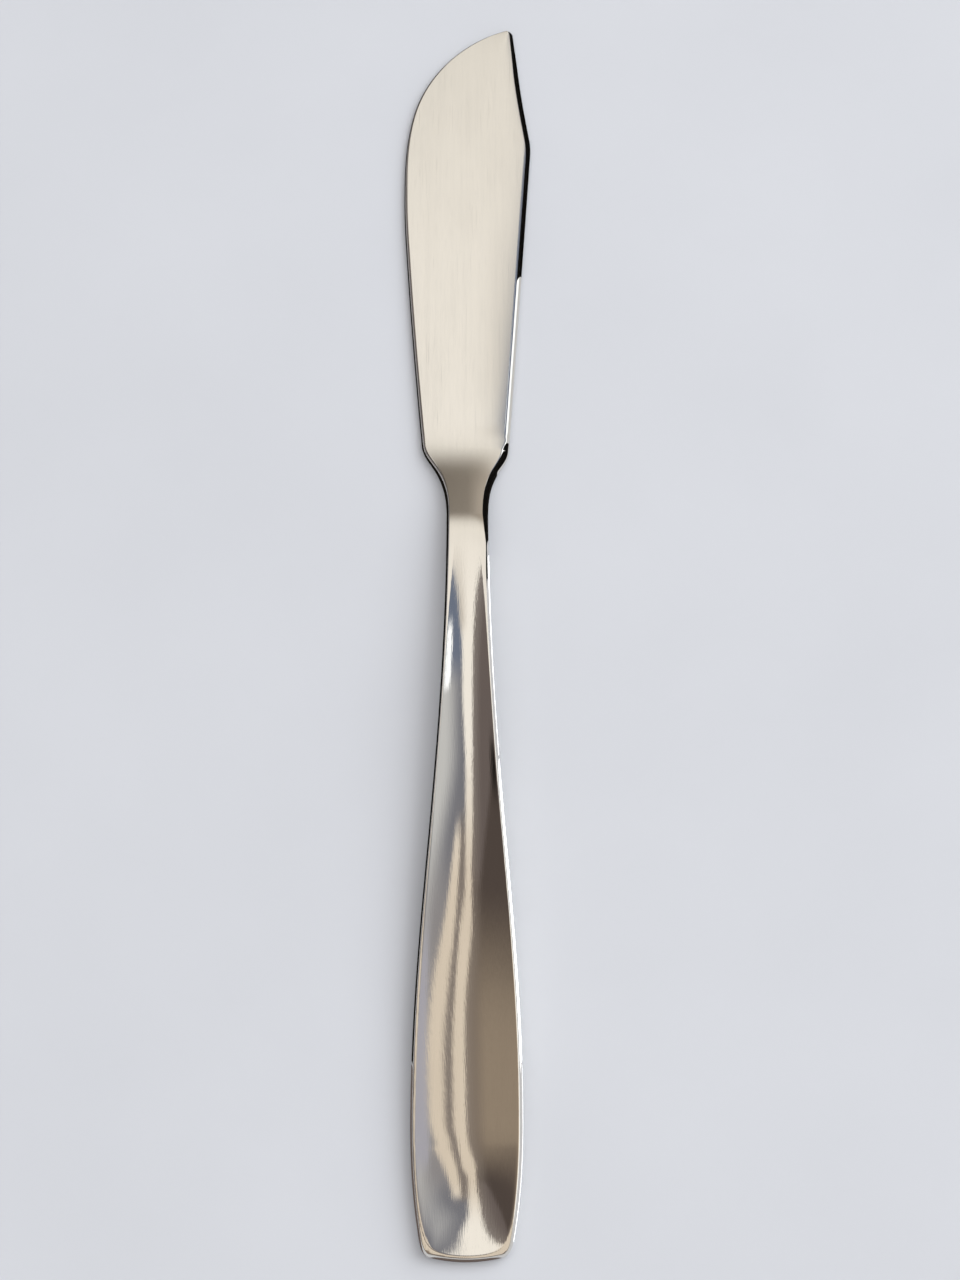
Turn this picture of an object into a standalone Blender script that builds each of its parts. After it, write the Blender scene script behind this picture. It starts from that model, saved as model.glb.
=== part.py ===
"""Fish knife: one stamped, ground and polished piece of stainless steel.

The knife lies on its back on the XY plane, with its face up. Y runs along it towards the tip,
X runs across it from the cutting edge to the spine, and the origin is under the middle of its box.
"""

import math
from collections import namedtuple

import bmesh
import bpy
import numpy as np
from mathutils import Vector
from mathutils.geometry import interpolate_bezier

MM = 0.001

# Plan of the blank, in millimetres. Along the knife, places are counted from the butt.
LENGTH = 208.0
BLADE_HALF_WIDTH = 10.7
PALM_HALF_WIDTH = 8.4
NECK_HALF_WIDTH = 3.32
BUTT_HALF_WIDTH = 5.5
PALM_AT = 21.0
NECK_AT = 117.5
SHOULDER_AT = 130.0
BELLY_AT = 176.0
BUTT_BOW = 0.65
BUTT_BOW_FADES_OVER = 12.0
TIP_BOW = 0.35
TIP_BOW_FADES_OVER = 3.0

# The handle's sides differ: the spine's is a little fuller, and its rounding is broader.
SPINE_FULLER = 0.15
EDGE_SOFTNESS = 0.55
SPINE_SOFTNESS = 0.68

# Thicknesses and heights, in millimetres.
SPINE_THICK = 1.6
EDGE_THICK = 1.42
SPINE_CROWN = 0.08
TIP_TAPER = 0.65
NECK_THICK = 3.7
BUTT_THICK = 2.5
ARCH = 2.4
ARCH_PEAK_AT = 86.0
ARCH_STARTS_AT = 128.0
BACK_CROWN = 0.5

# The run-out of the grinding climbs from the blade's face to a crest on the neck, past a facet by the spine.
RAMP_STARTS_AT = 134.0
RAMP_RADIUS = 42.0
CREST_AT = 115.8
CREST_SOFTNESS = 0.1
ROLL_FROM = 111.0
ROLL_DROP = 0.1
FACET_SLOPE = 0.5

# The dish in the handle's face leaves a land on both sides, which narrows away from the neck.
DISH_DEPTH = 1.05
DISH_STARTS_AT = 115.0
DISH_FULL_AT = 30.0
DISH_CLOSES_FROM = 23.5
DISH_CLOSED_AT = 1.25
DISH_SOFTNESS = 0.05
LAND_ENDS_AT = 74.0
FIRST_REACH = 0.6
FULL_REACH = 0.985

# Towards the butt the face falls a little to the spine's side.
LEAN = 0.0165
LEAN_FROM = 42.0
LEAN_FULL_AT = 17.0

# The rounding of the sides stops short of the face, which leaves a crisp line between them.
EDGE_SWEEP = math.radians(74)
EDGE_STEPS = 3
DISH_COLUMNS = 8
WIDEST_EDGE_SHARE = 0.4
STEEPEST_SLANT = 0.7
SHARP_ANGLE = math.radians(30)
SAME_POINT = 1e-7

# A point of the plan: its heading is in degrees from +Y towards +X, and the side beside it has
# a rounding and sometimes a facet of these widths.
Knot = namedtuple("Knot", "x y heading round facet", defaults=(0.0,))
EDGE_NECK = Knot(-NECK_HALF_WIDTH, NECK_AT, 0, 0.45)
SPINE_NECK = Knot(NECK_HALF_WIDTH + SPINE_FULLER / 2, NECK_AT, 0, 0.25, 0.8)


def handle_side(side, softness, fuller, neck):
    """One side of the handle: the corner of the butt, the palm, the waist and the collar up to the neck."""
    butt = Knot(side * BUTT_HALF_WIDTH, BUTT_BOW, side * 73, 0.45)
    corner = Knot(side * (6.95 + fuller), 3.0, side * 10, 0.75 * softness)
    palm = Knot(side * (PALM_HALF_WIDTH + fuller), PALM_AT, 0, 0.85 * softness)
    waist = Knot(side * (5.95 + fuller), 64.0, side * -4.9, 0.8 * softness)
    collar = Knot(side * (3.41 + fuller), 108.0, side * -1.1, 0.75 * softness)
    return [butt, corner], [corner, palm, waist, collar, neck]


def cutting_side():
    """The side with the cutting edge: shoulder, long straight, and the belly's curve round to the tip."""
    flare = Knot(-5.4, 126.1, -31, 0.55)
    shoulder = Knot(-7.45, SHOULDER_AT + 0.4, -5.4, 0.5)
    straight = Knot(-10.42, 167.5, -3.6, 0.4)
    belly = Knot(-BLADE_HALF_WIDTH, BELLY_AT, 0, 0.36)
    curve = Knot(-9.25, 191.3, 14.5, 0.16)
    tip = Knot(6.4, LENGTH - 0.2, 73, 0.12)
    return [EDGE_NECK, flare, shoulder], [shoulder, straight, belly], [belly, curve, tip]


def spine_side():
    """The side with the spine: shoulder, straight spine, the kink, and the hollow stretch up to the tip."""
    flare = Knot(5.35, 126.0, 33, 0.3, 1.1)
    shoulder = Knot(6.85, SHOULDER_AT - 0.5, 4, 0.6, 1.0)
    past_shoulder = Knot(6.96, SHOULDER_AT + 1.1, 4, 0.9)
    straight = Knot(10.1, BELLY_AT, 4, 0.95)
    kink_from = Knot(10.6, 183.2, 4, 0.95)
    kink_to = Knot(10.5, 186.7, -9.5, 0.95)
    hollow = Knot(8.7, 198.9, -6.2, 0.9)
    tip = Knot(7.7, LENGTH - 0.8, -7, 0.5)
    to_tip = [straight, kink_from, kink_to, hollow, tip]
    return [SPINE_NECK, flare, shoulder], [shoulder, past_shoulder, straight], to_tip


def even(k):
    return k


def dense_at_start(k):
    return 1 - math.cos(k * math.pi / 2)


def dense_at_end(k):
    return math.sin(k * math.pi / 2)


# The rows of each stretch that the two sides share, from the butt to the tip, and how they are spaced.
STRETCHES = ((7, dense_at_start), (38, even), (18, even), (10, even), (22, dense_at_end))


def heading_vector(degrees):
    return Vector((math.sin(math.radians(degrees)), math.cos(math.radians(degrees))))


def curve_through(knots, pull=0.35, resolution=40):
    """Points of a smooth curve through the knots, each as x, y, rounding and facet."""
    points = []
    for a, b in zip(knots, knots[1:]):
        start = Vector((a.x, a.y))
        end = Vector((b.x, b.y))
        reach = (end - start).length * pull
        leaving = start + heading_vector(a.heading) * reach
        arriving = end - heading_vector(b.heading) * reach
        run = interpolate_bezier(start, leaving, arriving, end, resolution)
        sides = np.linspace((a.round, a.facet), (b.round, b.facet), resolution)
        points += [(p.x, p.y, *side) for p, side in zip(run, sides)]
    return np.array(points)


def spaced_points(knots, count, spacing):
    """Points along the curve through the knots, at the shares of its length that the spacing gives."""
    curve = curve_through(knots)
    steps = np.linalg.norm(np.diff(curve[:, :2], axis=0), axis=1)
    travelled = np.concatenate(([0.0], np.cumsum(steps)))
    stops = [spacing(k / count) * travelled[-1] for k in range(count + 1)]
    return np.column_stack([np.interp(stops, travelled, column) for column in curve.T])


def side_points(stretches):
    """One side of the outline from the butt to the tip; points where stretches meet come once."""
    runs = [spaced_points(knots, *rows) for knots, rows in zip(stretches, STRETCHES)]
    return np.concatenate([runs[0]] + [run[1:] for run in runs[1:]])


def dish_reach(y):
    """Share of the face's half width that the dish takes; the rest is land."""
    left = np.clip((y - LAND_ENDS_AT) / (DISH_STARTS_AT - LAND_ENDS_AT), 0, 1)
    return FULL_REACH - (FULL_REACH - FIRST_REACH) * left ** 2


def edge_widths(outline):
    """Width of the rounding or the facet beside each outline point, as a row across the knife cuts it."""
    heading = np.gradient(outline[:, :2], axis=0)
    slant = heading[:, 1] / np.linalg.norm(heading, axis=1)
    return outline[:, 2:].max(axis=1) / np.maximum(slant, STEEPEST_SLANT)


def columns_across(left, right, near, far):
    """Places of a row's columns as shares of its width, close together in the rounding of each side,
    and as places on the face, which runs from -1 to 1 between the roundings."""
    width = np.linalg.norm(right[:2] - left[:2])
    near = min(near / width, WIDEST_EDGE_SHARE)
    far = min(far / width, WIDEST_EDGE_SHARE)
    sweep = np.linspace(0, EDGE_SWEEP, EDGE_STEPS + 1)[:-1]
    inset = (1 - np.cos(sweep)) / (1 - math.cos(EDGE_SWEEP))
    reach = dish_reach((left[1] + right[1]) / 2)
    place = np.concatenate(([-1], np.linspace(-reach, reach, DISH_COLUMNS + 1), [1]))
    face = near + (place + 1) / 2 * (1 - near - far)
    share = np.concatenate((inset * near, face, 1 - inset[::-1] * far))
    rim = np.ones(EDGE_STEPS)
    return share, np.concatenate((-rim, place, rim))


def fade(distance, length):
    return max(0.0, 1 - distance / length) ** 2


def plan_grid():
    """The plan of every row and column, its place across the face, and the outline with its sides."""
    left = side_points([*handle_side(-1, EDGE_SOFTNESS, 0, EDGE_NECK), *cutting_side()])
    right = side_points([*handle_side(1, SPINE_SOFTNESS, SPINE_FULLER, SPINE_NECK), *spine_side()])
    rows, across = [], []
    for a, b, near, far in zip(left, right, edge_widths(left), edge_widths(right)):
        share, place = columns_across(a, b, near, far)
        bow = TIP_BOW * fade(np.linalg.norm((left[-1] - a)[:2]), TIP_BOW_FADES_OVER)
        bow -= BUTT_BOW * fade(a[1] - BUTT_BOW, BUTT_BOW_FADES_OVER)
        row = a + share[:, None] * (b - a)
        row[:, 1] += bow * (1 - (2 * share - 1) ** 2)
        rows.append(row)
        across.append(place)
    tip, butt = rows[-1][1:-1], rows[0][1:-1]
    outline = np.concatenate((left, tip, right[::-1], butt[::-1]))
    return np.array(rows)[:, :, :2], np.array(across), outline


def edge_forms(points, outline):
    """How far the section has swollen at each point, 0 on the outline and 1 past the rounding, and how far
    the point lies inside a facet."""
    along = np.roll(outline, -1, axis=0) - outline
    gap = points[:, None, :] - outline[None, :, :2]
    t = (gap * along[:, :2]).sum(2) / (along[:, :2] ** 2).sum(1)
    t = np.clip(t, 0, 1)
    distances = np.linalg.norm(gap - t[:, :, None] * along[:, :2], axis=2)
    every = np.arange(len(points))
    nearest = distances.argmin(1)
    distance = distances[every, nearest]
    rounding, facet = (outline[nearest, 2:] + t[every, nearest, None] * along[nearest, 2:]).T
    depth = np.clip(distance / rounding, 0, 1)
    turned = np.arccos(1 - depth * (1 - math.cos(EDGE_SWEEP)))
    return np.sin(turned) / math.sin(EDGE_SWEEP), np.maximum(facet - distance, 0)


def smooth_step(k):
    k = np.clip(k, 0, 1)
    return k * k * (3 - 2 * k)


def softer_lower(a, b, softness):
    """The lower of two values, with the corner where they meet rounded off."""
    return (a + b) / 2 - np.hypot((a - b) / 2, softness)


def arch_height(y):
    """How far the back is off the table: flat under the blade, arched under the handle, down at the butt."""
    rise = smooth_step((ARCH_STARTS_AT - y) / (ARCH_STARTS_AT - ARCH_PEAK_AT))
    fall = (1 - np.clip(1 - y / ARCH_PEAK_AT, 0, 1) ** 2) ** 2
    return ARCH * np.where(y > ARCH_PEAK_AT, rise, fall)


def blade_thickness(across, y):
    """Thickness of the blade from its edge to its spine, thinner towards the tip and level at the neck."""
    thinning = smooth_step((y - RAMP_STARTS_AT) / (LENGTH - RAMP_STARTS_AT))
    levelled = smooth_step((y - NECK_AT) / (RAMP_STARTS_AT - NECK_AT))
    middle = (SPINE_THICK + EDGE_THICK) / 2
    thickness = middle + levelled * across * (SPINE_THICK - EDGE_THICK) / 2
    thickness = thickness - SPINE_CROWN * np.maximum(across, 0) ** 3
    return thickness * (1 - (1 - TIP_TAPER) * thinning)


def handle_height(y):
    """Height of the handle's face without its dish; it rolls down a little before the crest."""
    rolled = np.clip((y - ROLL_FROM) / (CREST_AT - ROLL_FROM), 0, 1)
    return arch_height(y) + BUTT_THICK + (NECK_THICK - BUTT_THICK) * y / NECK_AT - ROLL_DROP * rolled ** 2


def ramp_slope(run, rise):
    """Slope of the straight that an arc from level leads into, so that both together rise that far."""
    reach = math.hypot(run, RAMP_RADIUS - rise)
    lifted = math.atan2(run, RAMP_RADIUS - rise)
    return math.tan(lifted - math.acos(RAMP_RADIUS / reach))


def ramp_rise(y):
    """The run-out of the grinding: an arc that leaves the blade's face, then straight up past the crest."""
    run = RAMP_STARTS_AT - CREST_AT
    rise = handle_height(CREST_AT) - blade_thickness(0, CREST_AT)
    slope = ramp_slope(run, rise)
    arc_run = RAMP_RADIUS * math.sin(math.atan(slope))
    into = np.maximum(RAMP_STARTS_AT - y, 0)
    on_arc = np.minimum(into, arc_run)
    return RAMP_RADIUS - np.sqrt(RAMP_RADIUS ** 2 - on_arc ** 2) + (into - on_arc) * slope


def dish_depth(y):
    """Depth of the dish along its middle: none at the neck, full at the palm, closed at the butt."""
    grown = softer_lower((DISH_STARTS_AT - y) / (DISH_STARTS_AT - DISH_FULL_AT), 1, DISH_SOFTNESS)
    closing = np.clip((DISH_CLOSES_FROM - y) / (DISH_CLOSES_FROM - DISH_CLOSED_AT), 0, 1)
    return DISH_DEPTH * np.maximum(grown, 0) * (1 - closing ** 3)


def lean(y):
    """How far the face falls away towards the spine's side at the butt, as a slope."""
    return LEAN * np.clip((LEAN_FROM - y) / (LEAN_FROM - LEAN_FULL_AT), 0, 1) ** 1.5


def face_height(across, x, y, from_butt):
    hollow = np.clip(dish_reach(from_butt) ** 2 - across ** 2, 0, 1)
    handle = handle_height(y) - dish_depth(from_butt) * hollow - lean(y) * x
    blade = blade_thickness(across, y) + ramp_rise(y)
    return softer_lower(handle, blade, CREST_SOFTNESS)


def back_height(across, y):
    crowned = smooth_step((NECK_AT - y) / (NECK_AT - ARCH_PEAK_AT))
    return arch_height(y) + BACK_CROWN * crowned * across ** 2


def add_skin(bm, rows, heights, facing_up):
    """A skin of four-sided faces over the rows."""
    grid = [[bm.verts.new((x * MM, y * MM, z * MM)) for (x, y), z in zip(row, zs)]
            for row, zs in zip(rows, heights)]
    for low, high in zip(grid, grid[1:]):
        for j in range(len(low) - 1):
            corners = (low[j], low[j + 1], high[j + 1], high[j])
            bm.faces.new(corners if facing_up else corners[::-1])


def knife_mesh(name):
    """A face and a back over one plan, joined along the outline, with the box's middle over the origin."""
    rows, across, outline = plan_grid()
    x, y = rows[:, :, 0], rows[:, :, 1]
    from_butt = y.min(axis=1, keepdims=True)
    swollen, inside_facet = (form.reshape(y.shape) for form in edge_forms(rows.reshape(-1, 2), outline))
    swollen[[0, -1], :] = 0
    swollen[:, [0, -1]] = 0
    face = face_height(across, x, y, from_butt) - FACET_SLOPE * inside_facet
    back = back_height(across, y)
    middle = (face + back) / 2

    bm = bmesh.new()
    add_skin(bm, rows, middle + (face - middle) * swollen, True)
    add_skin(bm, rows, middle + (back - middle) * swollen, False)
    bmesh.ops.remove_doubles(bm, verts=bm.verts, dist=SAME_POINT)
    low = np.min([v.co for v in bm.verts], axis=0)
    high = np.max([v.co for v in bm.verts], axis=0)
    to_middle = Vector((low[0] + high[0], low[1] + high[1], 0)) / -2
    bmesh.ops.translate(bm, verts=bm.verts, vec=to_middle)

    mesh = bpy.data.meshes.new(name)
    bm.to_mesh(mesh)
    bm.free()
    mesh.shade_smooth()
    mesh.set_sharp_from_angle(angle=SHARP_ANGLE)
    return mesh


def stainless_steel():
    material = bpy.data.materials.new("stainless_steel")
    material.use_nodes = True
    shader = material.node_tree.nodes["Principled BSDF"]
    shader.inputs["Base Color"].default_value = (0.79, 0.76, 0.71, 1)
    shader.inputs["Metallic"].default_value = 1.0
    shader.inputs["Roughness"].default_value = 0.22
    return material


for old in list(bpy.data.objects):
    bpy.data.objects.remove(old, do_unlink=True)

knife = bpy.data.objects.new("fish_knife", knife_mesh("fish_knife"))
knife.data.materials.append(stainless_steel())
bpy.context.collection.objects.link(knife)
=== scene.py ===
# %% [markdown]
# A fish knife is stamped from one bar of stainless steel, ground on its face and then polished. It has no
# joint, so the whole lesson is about one piece. Its outline has to be right, its dished handle has to bend
# reflections the way the real one does, and its finish changes along its length.

# %% Load the frame
import math
from collections import namedtuple

import bmesh
import bpy
import numpy as np
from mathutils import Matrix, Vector
from mathutils.geometry import interpolate_bezier


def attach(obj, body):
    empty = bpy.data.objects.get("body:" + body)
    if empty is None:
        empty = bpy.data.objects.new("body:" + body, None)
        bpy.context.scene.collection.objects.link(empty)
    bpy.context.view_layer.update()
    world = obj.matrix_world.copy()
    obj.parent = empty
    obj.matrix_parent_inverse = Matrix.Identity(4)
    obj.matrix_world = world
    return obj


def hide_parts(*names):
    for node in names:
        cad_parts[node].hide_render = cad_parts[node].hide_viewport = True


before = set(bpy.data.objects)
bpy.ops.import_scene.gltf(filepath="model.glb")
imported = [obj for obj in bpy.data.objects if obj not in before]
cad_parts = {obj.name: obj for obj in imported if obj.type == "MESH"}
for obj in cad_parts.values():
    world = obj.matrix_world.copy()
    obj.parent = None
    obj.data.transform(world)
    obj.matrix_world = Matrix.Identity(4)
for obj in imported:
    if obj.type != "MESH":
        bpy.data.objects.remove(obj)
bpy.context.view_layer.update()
MM = 0.001

# %% [markdown]
# The photographer stood at the butt and looked steeply down, so the knife runs up the picture and narrows a
# little towards its tip. A camera that is placed first keeps every later choice honest. The lens follows
# from its focal length in pixels, because the sensor's 36 mm lie along the long side of the picture.

# %% Camera
PICTURE_HEIGHT = 1280
FOCAL_PIXELS = 2600
SENSOR = 36.0
PITCH = math.radians(72)
CAMERA_AT = Vector((0.0021, -0.1353, 0.396))

camera = bpy.data.objects.new("camera", bpy.data.cameras.new("camera"))
camera.data.sensor_width = SENSOR
camera.data.lens = FOCAL_PIXELS / PICTURE_HEIGHT * SENSOR
camera.location = CAMERA_AT
camera.rotation_euler = (math.pi / 2 - PITCH, 0, 0)
bpy.context.collection.objects.link(camera)
bpy.context.scene.camera = camera
bpy.context.scene.view_settings.view_transform = "Standard"
print("lens in mm:", round(camera.data.lens, 2))

# %% [markdown]
# The outline is what a die cuts from the bar. Each side is a chain of curves through a few knots, and a
# knot holds a place, a heading, the width of the rounding that the polisher leaves on the side there, and
# the width of a facet where one is ground beside it. A traced list of points would follow the photograph
# too, but knots can be understood and changed.

# %% Outline of the blank, in millimetres
LENGTH = 208.0
BLADE_HALF_WIDTH = 10.7
PALM_HALF_WIDTH = 8.4
NECK_HALF_WIDTH = 3.32
BUTT_HALF_WIDTH = 5.5
PALM_AT = 21.0
NECK_AT = 117.5
SHOULDER_AT = 130.0
BELLY_AT = 176.0
BUTT_BOW = 0.65
EDGE_SOFTNESS = 0.55
SPINE_SOFTNESS = 0.68
SPINE_FULLER = 0.15
Knot = namedtuple("Knot", "x y heading round facet", defaults=(0.0,))


def handle_side(side, softness, fuller, neck):
    """One side of the handle: the corner of the butt, the palm, the waist and the collar up to the neck."""
    butt = Knot(side * BUTT_HALF_WIDTH, BUTT_BOW, side * 73, 0.45)
    corner = Knot(side * (6.95 + fuller), 3.0, side * 10, 0.75 * softness)
    palm = Knot(side * (PALM_HALF_WIDTH + fuller), PALM_AT, 0, 0.85 * softness)
    waist = Knot(side * (5.95 + fuller), 64.0, side * -4.9, 0.8 * softness)
    collar = Knot(side * (3.41 + fuller), 108.0, side * -1.1, 0.75 * softness)
    return [butt, corner], [corner, palm, waist, collar, neck]


EDGE_NECK = Knot(-NECK_HALF_WIDTH, NECK_AT, 0, 0.45)
SPINE_NECK = Knot(NECK_HALF_WIDTH + SPINE_FULLER / 2, NECK_AT, 0, 0.25, 0.9)


def cutting_side():
    """The side with the cutting edge: shoulder, long straight, and the belly's curve round to the tip."""
    flare = Knot(-5.4, 126.1, -31, 0.55)
    shoulder = Knot(-7.45, SHOULDER_AT + 0.4, -5.4, 0.5)
    straight = Knot(-10.42, 167.5, -3.6, 0.4)
    belly = Knot(-BLADE_HALF_WIDTH, BELLY_AT, 0, 0.36)
    curve = Knot(-9.25, 191.3, 14.5, 0.16)
    tip = Knot(6.4, LENGTH - 0.2, 73, 0.12)
    return [EDGE_NECK, flare, shoulder], [shoulder, straight, belly], [belly, curve, tip]


def spine_side():
    """The side with the spine: shoulder, straight spine, the kink, and the hollow stretch up to the tip."""
    flare = Knot(5.35, 126.0, 33, 0.3, 0.95)
    shoulder = Knot(6.85, SHOULDER_AT - 0.5, 4, 0.3, 1.2)
    past_shoulder = Knot(7.04, SHOULDER_AT + 2.2, 4, 0.9)
    straight = Knot(10.1, BELLY_AT, 4, 0.95)
    kink_from = Knot(10.6, 183.2, 4, 0.95)
    kink_to = Knot(10.5, 186.7, -9.5, 0.95)
    hollow = Knot(8.7, 198.9, -6.2, 0.9)
    tip = Knot(7.7, LENGTH - 0.8, -7, 0.5)
    to_tip = [straight, kink_from, kink_to, hollow, tip]
    return [SPINE_NECK, flare, shoulder], [shoulder, past_shoulder, straight], to_tip


# %% [markdown]
# Blender's own Bezier function draws each piece of a side. The points are then spread by distance
# travelled, so that rows of the mesh stay even along the handle and crowd together only at the butt and the
# tip, where the outline turns fast.

# %% Rows along the knife
def even(k):
    return k


def dense_at_start(k):
    return 1 - math.cos(k * math.pi / 2)


def dense_at_end(k):
    return math.sin(k * math.pi / 2)


STRETCHES = ((24, dense_at_start), (220, even), (90, even), (60, even), (110, dense_at_end))


def heading_vector(degrees):
    return Vector((math.sin(math.radians(degrees)), math.cos(math.radians(degrees))))


def curve_through(knots, pull=0.35, resolution=60):
    """Points of a smooth curve through the knots, each as x, y, rounding and facet."""
    points = []
    for a, b in zip(knots, knots[1:]):
        start = Vector((a.x, a.y))
        end = Vector((b.x, b.y))
        reach = (end - start).length * pull
        leaving = start + heading_vector(a.heading) * reach
        arriving = end - heading_vector(b.heading) * reach
        run = interpolate_bezier(start, leaving, arriving, end, resolution)
        sides = np.linspace((a.round, a.facet), (b.round, b.facet), resolution)
        points += [(p.x, p.y, *side) for p, side in zip(run, sides)]
    return np.array(points)


def spaced_points(knots, count, spacing):
    """Points along the curve through the knots, at the shares of its length that the spacing gives."""
    curve = curve_through(knots)
    steps = np.linalg.norm(np.diff(curve[:, :2], axis=0), axis=1)
    travelled = np.concatenate(([0.0], np.cumsum(steps)))
    stops = [spacing(k / count) * travelled[-1] for k in range(count + 1)]
    return np.column_stack([np.interp(stops, travelled, column) for column in curve.T])


def side_points(stretches):
    """One side of the outline from the butt to the tip; points where stretches meet come once."""
    runs = [spaced_points(knots, *rows) for knots, rows in zip(stretches, STRETCHES)]
    return np.concatenate([runs[0]] + [run[1:] for run in runs[1:]])


cutting_outline = side_points([*handle_side(-1, EDGE_SOFTNESS, 0, EDGE_NECK), *cutting_side()])
spine_outline = side_points([*handle_side(1, SPINE_SOFTNESS, SPINE_FULLER, SPINE_NECK), *spine_side()])
print("rows along the knife:", len(cutting_outline))

# %% [markdown]
# The handle's dish doesn't reach its rims at first. Near the neck a flat land is left on both sides, and it
# narrows until the dish has nearly the whole face. The line where land and dish meet is crisp, so the mesh
# puts a column of points on it instead of hoping that a fine grid will catch it.

# %% Columns across the knife
EDGE_SWEEP = math.radians(74)
EDGE_STEPS = 7
LAND_STEPS = np.array((0.0, 0.06, 0.2, 0.35, 0.5, 0.65, 0.8, 0.94))
DISH_STEPS = 44
WIDEST_EDGE_SHARE = 0.4
STEEPEST_SLANT = 0.7
DISH_STARTS_AT = 115.0
LAND_ENDS_AT = 74.0
FIRST_REACH = 0.627
FULL_REACH = 0.985
REACH_POWER = 3.5


def smooth_step(k):
    k = np.clip(k, 0, 1)
    return k * k * (3 - 2 * k)


def dish_reach(y):
    """Share of the face's half width that the dish takes; the rest is land."""
    left = np.clip((y - LAND_ENDS_AT) / (DISH_STARTS_AT - LAND_ENDS_AT), 0, 1)
    return FULL_REACH - (FULL_REACH - FIRST_REACH) * left ** REACH_POWER


def edge_widths(outline):
    """Width of the rounding or the facet beside each outline point, as a row across the knife cuts it."""
    heading = np.gradient(outline[:, :2], axis=0)
    slant = heading[:, 1] / np.linalg.norm(heading, axis=1)
    return outline[:, 2:].max(axis=1) / np.maximum(slant, STEEPEST_SLANT)


def columns_across(left, right, near, far):
    """Places of a row's columns as shares of its width, and on the face, which runs from -1 to 1."""
    width = np.linalg.norm(right[:2] - left[:2])
    near = min(near / width, WIDEST_EDGE_SHARE)
    far = min(far / width, WIDEST_EDGE_SHARE)
    sweep = np.linspace(0, EDGE_SWEEP, EDGE_STEPS + 1)[:-1]
    inset = (1 - np.cos(sweep)) / (1 - math.cos(EDGE_SWEEP))
    reach = dish_reach((left[1] + right[1]) / 2)
    land = (1 - reach) * LAND_STEPS - 1
    place = np.concatenate((land, np.linspace(-reach, reach, DISH_STEPS + 1), -land[::-1]))
    face = near + (place + 1) / 2 * (1 - near - far)
    share = np.concatenate((inset * near, face, 1 - inset[::-1] * far))
    rim = np.ones(EDGE_STEPS)
    return share, np.concatenate((-rim, place, rim))


# %% Plan of every row and column
BUTT_BOW_FADES_OVER = 12.0
TIP_BOW = 0.35
TIP_BOW_FADES_OVER = 3.0


def fade(distance, length):
    return max(0.0, 1 - distance / length) ** 2


def plan_grid(left, right):
    """The plan of every row and column, its place across the face, and the outline with its rounding."""
    rows, across = [], []
    for a, b, near, far in zip(left, right, edge_widths(left), edge_widths(right)):
        share, place = columns_across(a, b, near, far)
        bow = TIP_BOW * fade(np.linalg.norm((left[-1] - a)[:2]), TIP_BOW_FADES_OVER)
        bow -= BUTT_BOW * fade(a[1] - BUTT_BOW, BUTT_BOW_FADES_OVER)
        row = a + share[:, None] * (b - a)
        row[:, 1] += bow * (1 - (2 * share - 1) ** 2)
        rows.append(row)
        across.append(place)
    tip, butt = rows[-1][1:-1], rows[0][1:-1]
    outline = np.concatenate((left, tip, right[::-1], butt[::-1]))
    return np.array(rows)[:, :, :2], np.array(across), outline


plan, across, outline = plan_grid(cutting_outline, spine_outline)
print("grid of rows and columns:", plan.shape[:2])

# %% [markdown]
# The polisher rounds every side. A bevel modifier would do that with one width, but here the rounding is
# broad along the spine and hardly there along the cutting edge, and by the spine's shoulder a flat facet is
# ground. So each point is measured against the outline. An arc turns that distance into how far the section
# has swollen, and a slope turns it into how much the facet takes off.

# %% Rounded sides
def edge_forms(points, outline):
    """How far the section has swollen at each point, 0 on the outline and 1 past the rounding, and how far
    the point lies inside a facet."""
    along = np.roll(outline, -1, axis=0) - outline
    length_squared = (along[:, :2] ** 2).sum(1)
    depth, inside = np.empty(len(points)), np.empty(len(points))
    for i, point in enumerate(points):
        gap = point - outline[:, :2]
        t = np.clip((gap * along[:, :2]).sum(1) / length_squared, 0, 1)
        distance = np.linalg.norm(gap - t[:, None] * along[:, :2], axis=1)
        nearest = distance.argmin()
        rounding, facet = outline[nearest, 2:] + t[nearest] * along[nearest, 2:]
        depth[i] = min(distance[nearest] / rounding, 1)
        inside[i] = max(facet - distance[nearest], 0)
    turned = np.arccos(1 - depth * (1 - math.cos(EDGE_SWEEP)))
    return np.sin(turned) / math.sin(EDGE_SWEEP), inside


swollen, inside_facet = (form.reshape(plan.shape[:2]) for form in edge_forms(plan.reshape(-1, 2), outline))
swollen[[0, -1], :] = 0
swollen[:, [0, -1]] = 0
print("share of points on the rounded sides:", round(float((swollen < 1).mean()), 2))

# %% [markdown]
# Lying on a table the knife touches it with the blade and the butt, and the handle arches over. All heights
# are formulas of the place along the knife and across it, in millimetres. First come the back, which is
# flat under the blade, and the handle's face without its dish.

# %% Arch of the handle
NECK_THICK = 3.7
BUTT_THICK = 2.5
ARCH = 2.4
ARCH_PEAK_AT = 86.0
ARCH_STARTS_AT = 128.0
CREST_AT = 117.0
ROLL_FROM = 111.0
ROLL_DROP = 0.1
BACK_CROWN = 0.5


def arch_height(y):
    """How far the back is off the table: flat under the blade, arched under the handle, down at the butt."""
    rise = smooth_step((ARCH_STARTS_AT - y) / (ARCH_STARTS_AT - ARCH_PEAK_AT))
    fall = (1 - np.clip(1 - y / ARCH_PEAK_AT, 0, 1) ** 2) ** 2
    return ARCH * np.where(y > ARCH_PEAK_AT, rise, fall)


def handle_height(y):
    """Height of the handle's face without its dish; it rolls down a little before the crest."""
    rolled = np.clip((y - ROLL_FROM) / (CREST_AT - ROLL_FROM), 0, 1)
    return arch_height(y) + BUTT_THICK + (NECK_THICK - BUTT_THICK) * y / NECK_AT - ROLL_DROP * rolled ** 2


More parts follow.
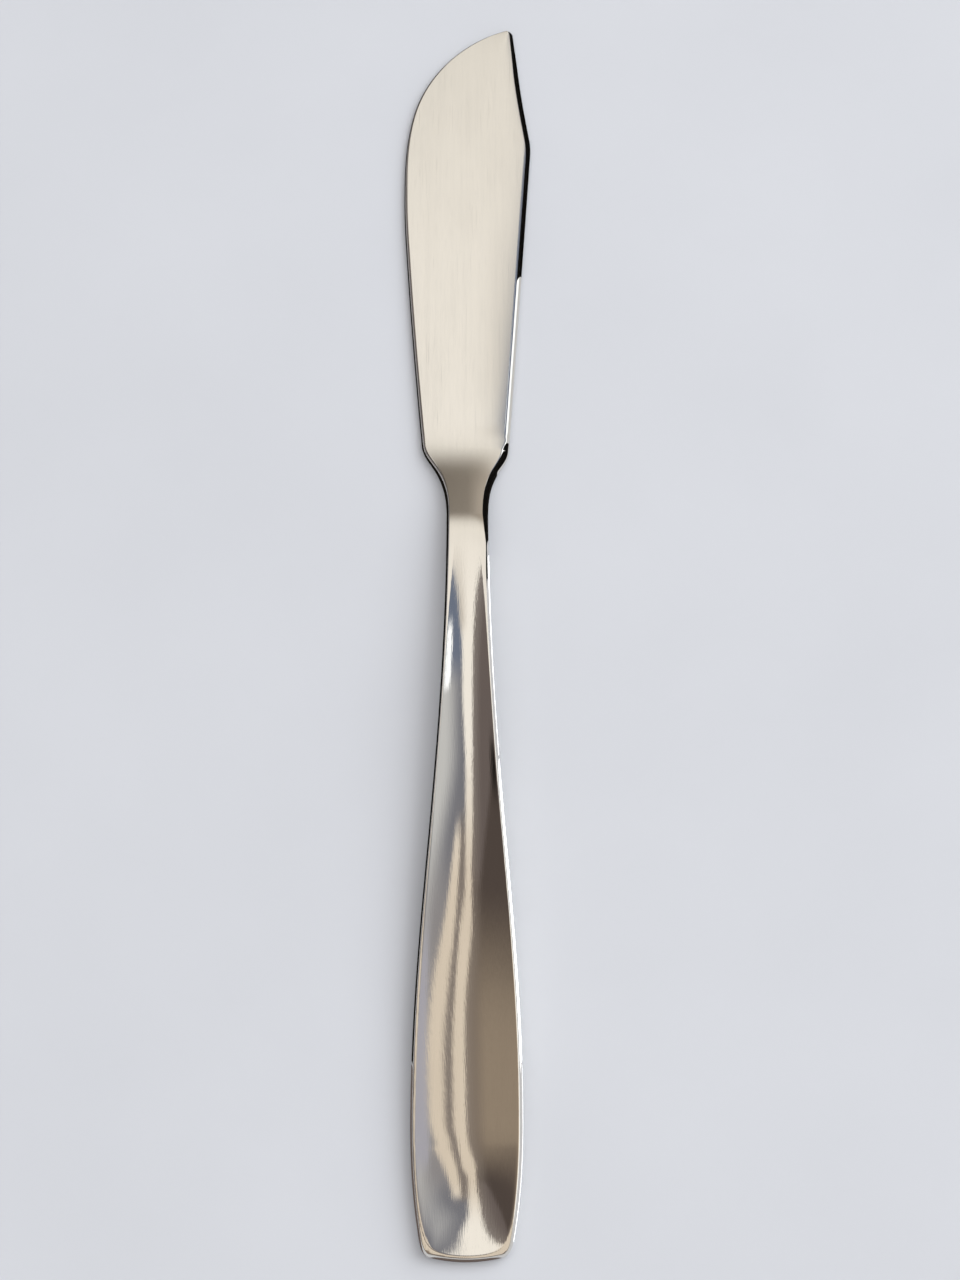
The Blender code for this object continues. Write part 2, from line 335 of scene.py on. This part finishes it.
def back_height(across, y):
    """Height of the back, whose sides curl up a little under the handle."""
    crowned = smooth_step((NECK_AT - y) / (NECK_AT - ARCH_PEAK_AT))
    return arch_height(y) + BACK_CROWN * crowned * across ** 2


print("handle's height over the arch in mm:", round(float(handle_height(ARCH_PEAK_AT)), 2))

# %% [markdown]
# The blade's face runs out in a hollow-ground arc that ends in a line across the neck. The arc leaves the
# blade level and leads into a straight up to the crest, so one radius and the crest's place settle the
# whole run-out.

# %% Blade and its run-out
SPINE_THICK = 1.55
EDGE_THICK = 1.5
TIP_TAPER = 0.65
SPINE_CROWN = 0.1
SPINE_CROWN_POWER = 3
RAMP_STARTS_AT = 134.0
RAMP_RADIUS = 50.0


def blade_thickness(across, y):
    """Thickness of the blade from its edge to its spine, thinner towards the tip and level at the neck."""
    thinning = smooth_step((y - RAMP_STARTS_AT) / (LENGTH - RAMP_STARTS_AT))
    tilted = smooth_step((y - NECK_AT) / (RAMP_STARTS_AT - NECK_AT))
    middle = (SPINE_THICK + EDGE_THICK) / 2
    thickness = middle + tilted * across * (SPINE_THICK - EDGE_THICK) / 2
    thickness = thickness - SPINE_CROWN * np.maximum(across, 0) ** SPINE_CROWN_POWER
    return thickness * (1 - (1 - TIP_TAPER) * thinning)


def ramp_slope(run, rise):
    """Slope of the straight that an arc from level leads into, so that both together rise that far."""
    reach = math.hypot(run, RAMP_RADIUS - rise)
    lifted = math.atan2(run, RAMP_RADIUS - rise)
    return math.tan(lifted - math.acos(RAMP_RADIUS / reach))


def ramp_rise(y):
    """The run-out of the grinding: an arc that leaves the blade's face, then straight up past the crest."""
    run = RAMP_STARTS_AT - CREST_AT
    rise = handle_height(CREST_AT) - blade_thickness(0, CREST_AT)
    slope = ramp_slope(run, rise)
    arc_run = RAMP_RADIUS * math.sin(math.atan(slope))
    into = np.maximum(RAMP_STARTS_AT - y, 0)
    on_arc = np.minimum(into, arc_run)
    return RAMP_RADIUS - np.sqrt(RAMP_RADIUS ** 2 - on_arc ** 2) + (into - on_arc) * slope


print("rise of the run-out in mm:", round(float(ramp_rise(CREST_AT)), 2))

# %% [markdown]
# From behind the crest the handle's dish deepens evenly towards the palm, and it closes at the butt, in the
# corners a little earlier than in the middle. Straight depth matters: it keeps the light stripe in the
# valley straight, as it is on the real knife. Towards the butt the whole face also leans a little.

# %% Dish of the handle
DISH_DEPTH = 1.05
DISH_FULL_AT = 30.0
DISH_CLOSES_FROM = 20.5
DISH_CLOSED_AT = 0.85
DISH_CLOSING_POWER = 2.6
DISH_END_SQUARE = 0.95
DISH_SOFTNESS = 0.05
LEAN = 0.0165
LEAN_FROM = 42.0
LEAN_FULL_AT = 17.0
LEAN_POWER = 1.5


def softer_lower(a, b, softness):
    """The lower of two values, with the corner where they meet rounded off."""
    return (a + b) / 2 - np.hypot((a - b) / 2, softness)


def dish_depth(across, y):
    """Depth of the dish: none at the neck, full at the palm, closed at the butt."""
    grown = softer_lower((DISH_STARTS_AT - y) / (DISH_STARTS_AT - DISH_FULL_AT), 1, DISH_SOFTNESS)
    closing = np.clip((DISH_CLOSES_FROM - y) / (DISH_CLOSES_FROM - DISH_CLOSED_AT), 0, 1)
    closing = closing ** DISH_CLOSING_POWER
    hollow = dish_reach(y) ** 2 * (1 - closing) - across ** 2 * (1 - DISH_END_SQUARE * closing)
    return DISH_DEPTH * np.maximum(grown, 0) * np.maximum(hollow, 0)


def lean(y):
    """How far the face falls away towards the spine side at the butt, as a slope."""
    return LEAN * np.clip((LEAN_FROM - y) / (LEAN_FROM - LEAN_FULL_AT), 0, 1) ** LEAN_POWER


print("depth of the dish at the palm in mm:", round(float(dish_depth(0, PALM_AT)), 2))

# %% [markdown]
# Where the handle and the run-out cross, the lower of the two is the face. Their corner is hardly rounded,
# and it is the crest across the neck. The facet by the spine's shoulder is taken off last.

# %% Heights of the face and the back
CREST_SOFTNESS = 0.07
FACET_SLOPE = 0.5


def face_height(across, x, y, from_butt):
    handle = handle_height(y) - dish_depth(across, from_butt) - lean(y) * x
    blade = blade_thickness(across, y) + ramp_rise(y)
    return softer_lower(handle, blade, CREST_SOFTNESS)


along = plan[:, :, 1]
from_butt = along.min(axis=1, keepdims=True)
face = face_height(across, plan[:, :, 0], along, from_butt) - FACET_SLOPE * inside_facet
back = back_height(across, along)
print("highest and thickest in mm:", round(float(face.max()), 2), round(float((face - back).max()), 2))

# %% [markdown]
# Two skins over the same plan make the solid: one for the face, one for the back. They meet along the
# outline, where the section has no thickness left. Past the neck both broad sides of the knife are satin
# from the grinding belt, and everything else was polished, so the faces of the mesh get one of two materials
# as they are made.

# %% Mesh of the knife
SAME_POINT = 1e-7
SATIN, POLISHED = 0, 1


def add_skin(bm, rows, heights, facing_up):
    """A skin of four-sided faces over the rows."""
    grid = [[bm.verts.new((x * MM, y * MM, z * MM)) for (x, y), z in zip(row, zs)]
            for row, zs in zip(rows, heights)]
    ground = range(EDGE_STEPS, len(grid[0]) - 1 - EDGE_STEPS)
    for i, (low, high) in enumerate(zip(grid, grid[1:])):
        on_blade = rows[i, :, 1].mean() > NECK_AT
        for j in range(len(low) - 1):
            corners = (low[j], low[j + 1], high[j + 1], high[j])
            quad = bm.faces.new(corners if facing_up else corners[::-1])
            quad.material_index = SATIN if on_blade and j in ground else POLISHED


def knife_mesh(name):
    """The face and the back joined along the outline, with the box's middle over the origin."""
    middle = (face + back) / 2
    bm = bmesh.new()
    add_skin(bm, plan, middle + (face - middle) * swollen, True)
    add_skin(bm, plan, middle + (back - middle) * swollen, False)
    bmesh.ops.remove_doubles(bm, verts=bm.verts, dist=SAME_POINT)
    low = np.min([v.co for v in bm.verts], axis=0)
    high = np.max([v.co for v in bm.verts], axis=0)
    to_middle = Vector((low[0] + high[0], low[1] + high[1], 0)) / -2
    bmesh.ops.translate(bm, verts=bm.verts, vec=to_middle)
    mesh = bpy.data.meshes.new(name)
    bm.to_mesh(mesh)
    bm.free()
    mesh.shade_smooth()
    return mesh


knife = bpy.data.objects.new("knife", knife_mesh("knife"))
bpy.context.collection.objects.link(knife)
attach(knife, "root")
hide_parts("fish_knife")
print("faces of the knife:", len(knife.data.polygons))

# %% [markdown]
# Finishes are node trees, and node trees are easier to read as sums than as lists of links. This small
# class wraps a socket, so that an expression such as `1 - mask` adds the Math node that works it out. Any
# other node comes from one method: its settings are set first, then its sockets get a value or a link.

# %% Shader maths as expressions
class Wire:
    """An output socket of a node tree that can be used in expressions."""

    def __init__(self, tree, socket=None):
        self.tree = tree
        self.socket = socket

    def node(self, kind, settings=None, sockets=None, out=0):
        made = self.tree.nodes.new("ShaderNode" + kind)
        for name, value in (settings or {}).items():
            setattr(made, name, value)
        for name, value in (sockets or {}).items():
            if isinstance(value, Wire):
                self.tree.links.new(value.socket, made.inputs[name])
            else:
                made.inputs[name].default_value = value
        return Wire(self.tree, made.outputs[out])

    def math(self, operation, *values):
        return self.node("Math", {"operation": operation}, dict(enumerate(values)))

    def __add__(self, other):
        return self.math("ADD", self, other)

    def __sub__(self, other):
        return self.math("SUBTRACT", self, other)

    def __mul__(self, other):
        return self.math("MULTIPLY", self, other)

    def __truediv__(self, other):
        return self.math("DIVIDE", self, other)

    def __radd__(self, other):
        return self.math("ADD", other, self)

    def __rsub__(self, other):
        return self.math("SUBTRACT", other, self)

    def __rmul__(self, other):
        return self.math("MULTIPLY", other, self)

    def __rtruediv__(self, other):
        return self.math("DIVIDE", other, self)

    def stretched(self, scale):
        return self.node("VectorMath", {"operation": "MULTIPLY"}, {0: self, 1: scale})

    def step(self, start, end):
        """Rises smoothly from 0 at start to 1 at end, or falls where end is the smaller."""
        soft = {"interpolation_type": "SMOOTHSTEP"}
        return self.node("MapRange", soft, {"Value": self, "From Min": start, "From Max": end})

    def band(self, low, high, soft):
        return self.step(low - soft, low + soft) * self.step(high + soft, high - soft)

    def between(self, colour, other):
        """One colour where this is 0, another one where it is 1, and their mix where it is in between."""
        return self.node("Mix", {"data_type": "RGBA"}, {0: self, 6: colour, 7: other}, out=2)


# %% [markdown]
# Stainless steel is a warm grey mirror, and the belt and the buffing wheel leave fine lines along the
# knife. Real lines are far thinner than a pixel, so noise that is stretched lengthwise stands for them,
# once in the bump and once in the roughness. Anisotropic shading would spread light in the same way, but
# its direction can't be baked for other programs.

# %% Steel finishes
STEEL = (0.79, 0.76, 0.71, 1)
BELT_STEEL = (0.815, 0.79, 0.742, 1)
DULL_STEEL = (0.70, 0.67, 0.62, 1)


def grain(place, width, length, detail=2.0):
    """Noise in streaks of that width and length in millimetres, lengthwise along the knife."""
    scale = (1 / (width * MM), 1 / (length * MM), 1 / (width * MM))
    return place.node("TexNoise", None, {"Vector": place.stretched(scale), "Scale": 1.0, "Detail": detail})


def steel_finish(name, clean, worn, rough, rough_spread, line_height):
    """Steel with lengthwise lines: its colour, how far wear dulls it, how rough it is and how much that
    varies, and how high its lines stand in mm."""
    material = bpy.data.materials.new(name)
    material.use_nodes = True
    tree = material.node_tree
    shader = tree.nodes["Principled BSDF"]
    shader.inputs["Metallic"].default_value = 1.0
    place = Wire(tree).node("TexCoord", out=3)
    lines = grain(place, 0.16, 2.2)
    streaks = grain(place, 0.7, 40.0)
    clouds = grain(place, 6.0, 14.0)
    hairlines = grain(place, 0.1, 9.0, detail=0.0).step(0.73, 0.8)

    rubbed = streaks.step(0.35, 0.75) * 0.5 + clouds.step(0.4, 0.7) * 0.5
    colour = (rubbed * worn + hairlines * 0.3).between(clean, DULL_STEEL)
    roughness = rough + (lines - 0.5) * rough_spread + (rubbed + hairlines) * rough_spread * 0.5
    height = lines * 0.8 + streaks * 0.2
    bump = place.node("Bump", None, {"Strength": 1.0, "Distance": line_height * MM, "Height": height})
    for target, wire in (("Base Color", colour), ("Roughness", roughness), ("Normal", bump)):
        tree.links.new(wire.socket, shader.inputs[target])
    return material


satin = steel_finish("satin_ground_steel", BELT_STEEL, worn=0.06, rough=0.12, rough_spread=0.05,
                     line_height=0.0006)
polished = steel_finish("polished_steel", STEEL, worn=0.2, rough=0.04, rough_spread=0.03, line_height=0.0035)
knife.data.materials.append(satin)
knife.data.materials.append(polished)
print("finishes:", [m.name for m in knife.data.materials])

# %% [markdown]
# Polished steel has hardly any colour of its own: what we see is the room. So the room is drawn with care,
# as soft patches over the knife. A direction is read as the point where it meets a ceiling one unit above,
# `aside` to the right and `ahead` towards the tip, and each patch is a soft-edged area of that ceiling.

# %% Directions as points on a ceiling
LOWEST = 0.03

world = bpy.data.worlds.new("room")
world.use_nodes = True
bpy.context.scene.world = world
sky = Wire(world.node_tree)
direction = sky.node("TexCoord", out=0)
x, y, z = (sky.node("SeparateXYZ", None, {0: direction}, out=i) for i in range(3))
up = sky.math("MAXIMUM", z, LOWEST)
aside = x / up
ahead = y / up
print("directions reach this far out on the ceiling:", round(1 / LOWEST))

# %% [markdown]
# To the left the room is brown, darkest a little ahead of the knife and lighter overhead. To the right a
# wall turns from slate to pale grey. The handle's right flank shows the first of these, and its left flank
# the second.

# %% Walls
BROWN = (0.165, 0.137, 0.13, 1)
DARK_BROWN = (0.095, 0.075, 0.067, 1)
LIGHT_BROWN = (0.365, 0.295, 0.225, 1)
SLATE = (0.22, 0.225, 0.26, 1)
DARK_SLATE = (0.18, 0.215, 0.30, 1)
PALE_GREY = (0.66, 0.67, 0.68, 1)
MID_GREY = (0.32, 0.31, 0.325, 1)
SHADED_WALL = (0.26, 0.225, 0.205, 1)
LAVENDER = (0.47, 0.47, 0.55, 1)

left_side = ahead.step(0.02, 0.11).between(LIGHT_BROWN, DARK_BROWN)
brown_corner = (aside + ahead * 2.3).step(0.07, 0.13) * ahead.step(0.1, 0.12)
left_side = sky.math("MAXIMUM", brown_corner, aside.step(-0.2, -0.02) * 0.6).between(left_side, BROWN)
right_side = (aside + ahead.step(0.12, 0.21) * 0.16).step(0.2, 0.48).between(SLATE, PALE_GREY)
near_right = ahead.step(0.15, 0.08) * (1 - aside.step(0.3, 0.5) * 0.6)
right_side = near_right.between(right_side, MID_GREY)
right_side = ahead.step(0.28, 0.40).between(right_side, DARK_SLATE)
lavender = aside.step(0.36, 0.42) * ahead.band(0.045, 0.08, 0.015)
right_side = lavender.between(right_side, LAVENDER)
product = aside * ahead
shaded = product.step(0.016, 0.010) * ahead.step(0.17, 0.14)
right_side = shaded.between(right_side, SHADED_WALL)
room = aside.step(-0.02, 0.02).between(left_side, right_side)
print("nodes for the walls:", len(world.node_tree.nodes))

# %% [markdown]
# Two overhead strips of light make the stripes that run down the handle. The first lies over the middle of
# the knife and shifts to the right where it comes near. The second runs off to the right in a curve along
# which aside times ahead stays the same.

# %% Overhead strips
CREAM = (1.09, 1.05, 0.985, 1)
BRIGHT_CREAM = (1.17, 1.13, 1.055, 1)
TAN = (0.84, 0.74, 0.62, 1)
BEIGE = (0.50, 0.445, 0.38, 1)

strip_low = ahead.step(0.16, 0.12) * 0.022 + ahead.step(0.09, 0.035) * 0.085 - 0.084
strip_high = ahead.step(0.185, 0.26) * 0.047 + ahead.step(0.11, 0.05) * 0.16
strip_high = strip_high + ahead.step(0.40, 0.46) * 0.022 + 0.01
strip = (aside - strip_low).step(-0.009, 0.009) * (aside - strip_high).step(0.022, -0.022)
strip = strip * sky.math("MAXIMUM", product.step(0.0066, 0.005), ahead.step(0.15, 0.19))
strip_glow = (aside - strip_low).step(-0.13, 0.0) * (aside - strip_low).step(0.01, 0.0) * 0.12
over_blade = ahead.step(0.56, 0.6) * aside.step(-0.4, -0.25) * aside.step(0.3, 0.15)
strip_colour = ahead.step(0.1, 0.23).between(TAN, CREAM)
fading = ahead.step(0.41, 0.45) * ahead.step(0.59, 0.45) * aside.step(-0.02, 0.06) * 0.6
strip_colour = fading.between(strip_colour, BEIGE)
room = (strip + strip_glow).between(room, strip_colour)
room = over_blade.between(room, BRIGHT_CREAM)
second_strip = product.band(0.0099, 0.0203, 0.0018) * aside.step(0.03, 0.07) * ahead.step(0.16, 0.136)
room = second_strip.between(room, strip_colour)
print("nodes with the strips:", len(world.node_tree.nodes))

# %% [markdown]
# The ground run-out in front of the neck tilts towards the far wall, which is light taupe on the right and
# dark on the left. The window stands low on the right and lights the rounded rim of that side, and the room
# is black on the near side of it. Further out to both sides and behind, the room is grey or pale grey, so
# that the steel stays light when it is seen from low down.

# %% Far wall and window
LIGHT_TAUPE = (0.45, 0.395, 0.335, 1)
TAUPE = (0.33, 0.29, 0.245, 1)
DARK_TAUPE = (0.05, 0.042, 0.035, 1)
NEAR_BLACK = (0.012, 0.011, 0.010, 1)
WINDOW = (1.45, 1.5, 1.55, 1)

far_wall = aside.step(-0.07, 0.0).between(DARK_TAUPE, TAUPE)
far_wall = aside.step(0.0, 0.16).between(far_wall, LIGHT_TAUPE)
room = ahead.step(0.48, 0.88).between(room, far_wall)
room = aside.step(-0.6, -0.8).between(room, NEAR_BLACK)
left_ahead = (ahead + aside * 0.4).step(0.05, 0.25) * aside.step(-0.75, -1.1)
far_left = sky.math("MAXIMUM", left_ahead, aside.step(-1.0, -1.8))
room = far_left.between(room, MID_GREY)
below_window = (ahead + aside * 0.05).step(0.0, -0.06)
room = (below_window * aside.step(0.3, 0.5)).between(room, NEAR_BLACK)
room = ahead.step(-0.2, -0.4).between(room, BROWN)
room = ahead.step(-0.6, -1.6).between(room, PALE_GREY)
dark_nook = aside.step(-0.31, -0.37) * ahead.band(0.185, 0.23, 0.02)
room = dark_nook.between(room, NEAR_BLACK)
pane_slant = aside + ahead * 0.48
small_pane = pane_slant.step(0.375, 0.40) * pane_slant.step(0.49, 0.44) * ahead.band(0.295, 0.46, 0.02)
tall_pane = aside.step(0.55, 0.62) * (1 - below_window)
room = sky.math("MAXIMUM", small_pane, tall_pane).between(room, WINDOW)
room = aside.step(1.2, 1.7).between(room, PALE_GREY)
print("nodes with the far wall:", len(world.node_tree.nodes))

# %% [markdown]
# Past the rim of the floor the camera sees a plain pale backdrop. All other rays meet the room, so the
# steel mirrors it.

# %% Backdrop
BACKDROP = (0.80, 0.81, 0.82, 1)
seen = sky.node("LightPath", out=0)
room = seen.between(room, BACKDROP)
background = world.node_tree.nodes["Background"]
world.node_tree.links.new(room.socket, background.inputs["Color"])
print("nodes in the room:", len(world.node_tree.nodes))

# %% [markdown]
# A rim that mirrors a pale floor from end to end looks flat, so photographers lay cards beside such edges.
# These are part of the stage: only the steel sees them, and they throw no shadow. They put painted
# reflections in the steel: black and brown ones are plain and paint dark reflections of shade into the rims,
# and a lit one glows on its upper side though it is no lamp and paints a highlight.

# %% Finishes of the cards
def plain_finish(name, colour, roughness):
    material = bpy.data.materials.new(name)
    material.use_nodes = True
    shader = material.node_tree.nodes["Principled BSDF"]
    shader.inputs["Base Color"].default_value = colour
    shader.inputs["Roughness"].default_value = roughness
    shader.inputs["Specular IOR Level"].default_value = 0.0
    return material


# A finish that glows on its upper side though it is no lamp, and is black underneath; the steel shows it as
# a painted highlight.
def lit_finish(name, colour):
    material = plain_finish(name, colour, roughness=1.0)
    shader = material.node_tree.nodes["Principled BSDF"]
    shader.inputs["Emission Strength"].default_value = 1.0
    underneath = Wire(material.node_tree).node("NewGeometry", out="Backfacing")
    glow = underneath.between(colour, NEAR_BLACK)
    material.node_tree.links.new(glow.socket, shader.inputs["Emission Color"])
    return material


# Finishes of the cards: black and brown ones for painted dark reflections of shade, and one that glows for a
# painted highlight.
dark_reflection_card = plain_finish("dark_reflection_card", NEAR_BLACK, roughness=0.9)
brown_shade_reflection_card = plain_finish("brown_shade_reflection_card", BROWN, roughness=0.9)
glowing_highlight_card = lit_finish("glowing_highlight_card", WINDOW)
print("finishes of the cards:", [m.name for m in (dark_reflection_card, brown_shade_reflection_card, glowing_highlight_card)])

# %% [markdown]
# Two black cards stand beside the spine and paint dark reflections into its rounding. The one at the neck is
# a plain upright. The one at the tip follows the outline closely, so it can be low, and the blade's face
# mirrors little of it when it is seen from the side.

# %% Standing cards
NECK_CARD_AT = 9.5
NECK_CARD_FROM = 109.0
NECK_CARD_TO = 131.6
NECK_CARD_HEIGHT = 16.0
TIP_CARD_GAP = 0.6
TIP_CARD_FROM = 161.0
TIP_CARD_PAST = 4.0
TIP_CARD_HEIGHT = 4.4


def card(near, far, finish):
    """A card between two rails of points in millimetres on the plan, which only reflections show."""
    mesh = bpy.data.meshes.new("card")
    rails = [Vector((x, y - LENGTH / 2, z)) * MM for x, y, z in [*near, *far]]
    count = len(near)
    mesh.from_pydata(rails, [], [(i, i + 1, count + i + 1, count + i) for i in range(count - 1)])
    mesh.materials.append(finish)
    made = bpy.data.objects.new("card", mesh)
    made.visible_camera = False
    made.visible_diffuse = False
    made.visible_shadow = False
    bpy.context.collection.objects.link(made)


def standing_card(edge, height):
    card([(x, y, 0) for x, y in edge], [(x, y, height) for x, y in edge], dark_reflection_card)


standing_card([(NECK_CARD_AT, NECK_CARD_FROM), (NECK_CARD_AT, NECK_CARD_TO)], NECK_CARD_HEIGHT)
at_tip = spine_outline[spine_outline[:, 1] > TIP_CARD_FROM, :2]
past_tip = at_tip[-1] + (0.0, TIP_CARD_PAST)
beside_tip = np.vstack((at_tip, past_tip)) + (TIP_CARD_GAP, 0.0)
standing_card(beside_tip, TIP_CARD_HEIGHT)
print("points along the tip's card:", len(beside_tip))

# %% [markdown]
# The other cards lie on the floor, cut to the outline: black along the cutting side and at the neck, and
# brown round the butt, which paint dark reflections of shade into the rims, and lit ones along the handle's
# other side, which glow and draw the white line there as a painted highlight. The lit ones are narrow at
# both ends of the handle.

# %% Lying cards
CARD_REACH = 20.0
CARD_LIFT = 0.02
LYING_CARD_FROM = 114.0
LYING_CARD_TO = 125.5
BROWN_CARD_TO = 30.0
BUTT_CARD_FROM = 3.0
BUTT_CARD_REACH = 1.2
LIT_CARD_FROM = 30.0
LIT_CARD_TO = 78.0
NARROW_CARD_TO = 112.0
NARROW_CARD_REACH = 2.5
LIT_CARDS = (
    (BUTT_CARD_FROM, LIT_CARD_FROM, BUTT_CARD_REACH),
    (LIT_CARD_FROM, LIT_CARD_TO, CARD_REACH),
    (LIT_CARD_TO, NARROW_CARD_TO, NARROW_CARD_REACH),
)


def lying_card(edge, aside, ahead, finish):
    card([(x, y, CARD_LIFT) for x, y in edge], [(x + aside, y + ahead, CARD_LIFT) for x, y in edge], finish)


def spine_stretch(from_y, to_y):
    """The outline's points on the spine side between two places along the knife."""
    return spine_outline[(spine_outline[:, 1] > from_y) & (spine_outline[:, 1] < to_y), :2]


lying_card(spine_stretch(LYING_CARD_FROM, LYING_CARD_TO), CARD_REACH, 0, dark_reflection_card)
at_butt = cutting_outline[:, 1] < BROWN_CARD_TO
lying_card(cutting_outline[~at_butt, :2], -CARD_REACH, 0, dark_reflection_card)
lying_card(cutting_outline[at_butt, :2], -CARD_REACH, 0, brown_shade_reflection_card)
lying_card(plan[0], 0, -CARD_REACH, brown_shade_reflection_card)
for from_y, to_y, reach in LIT_CARDS:
    lying_card(spine_stretch(from_y, to_y)[::-1], reach, 0, glowing_highlight_card)
print("points along the brown card by the butt:", int(at_butt.sum()))

# %% [markdown]
# Two broad lamps bring the floor up to its own pale colour. One stands where the window is and gives the
# soft shadow to the left of the knife. The other hangs overhead and keeps that shadow light. Steel doesn't
# show them, because the room already holds their light.

# %% Lamps
WINDOW_LAMP_AT = Vector((0.9, 0.25, 0.9))
CEILING_LAMP_AT = Vector((-0.2, 0.0, 1.8))


def broad_lamp(name, at, side, power):
    """A square lamp that points at the knife."""
    lamp = bpy.data.objects.new(name, bpy.data.lights.new(name, "AREA"))
    lamp.data.shape = "SQUARE"
    lamp.data.size = side
    lamp.data.energy = power
    lamp.location = at
    lamp.rotation_euler = (-at).to_track_quat("-Z", "Y").to_euler()
    lamp.visible_glossy = False
    bpy.context.collection.objects.link(lamp)
    print(name, "to knife in m:", round(at.length, 2))


broad_lamp("window_lamp", WINDOW_LAMP_AT, side=1.2, power=7.9)
broad_lamp("ceiling_lamp", CEILING_LAMP_AT, side=3.0, power=24.5)

# %% [markdown]
# The floor is plain and pale, with a faint cloudiness so that it doesn't look like paper. It isn't part of
# the knife.

# %% Floor
def paint(red, green, blue):
    """A colour as a screen shows it, turned into the linear values that a shader works with."""
    def linear(value):
        value = value / 255
        return value / 12.92 if value <= 0.04045 else ((value + 0.055) / 1.055) ** 2.4
    return (linear(red), linear(green), linear(blue), 1)


FLOOR_HALF_SIDE = 6.0
FLOOR_CLOUDS_PER_METRE = 22.0
FLOOR_PALE = paint(212, 215, 221)
FLOOR_SHADE = paint(203, 206, 212)

floor_mesh = bmesh.new()
bmesh.ops.create_grid(floor_mesh, x_segments=1, y_segments=1, size=FLOOR_HALF_SIDE)
floor = bpy.data.objects.new("floor", bpy.data.meshes.new("floor"))
floor_mesh.to_mesh(floor.data)
floor_mesh.free()
bpy.context.collection.objects.link(floor)

floor_finish = plain_finish("pale_floor", FLOOR_PALE, roughness=0.6)
floor_tree = floor_finish.node_tree
floor_place = Wire(floor_tree).node("TexCoord", out=3)
clouds = {"Vector": floor_place, "Scale": FLOOR_CLOUDS_PER_METRE, "Detail": 5.0}
mottled = floor_place.node("TexNoise", None, clouds)
floor_colour = mottled.between(FLOOR_PALE, FLOOR_SHADE)
floor_tree.links.new(floor_colour.socket, floor_tree.nodes["Principled BSDF"].inputs["Base Color"])
floor.data.materials.append(floor_finish)
print("floor side in m:", 2 * FLOOR_HALF_SIDE)
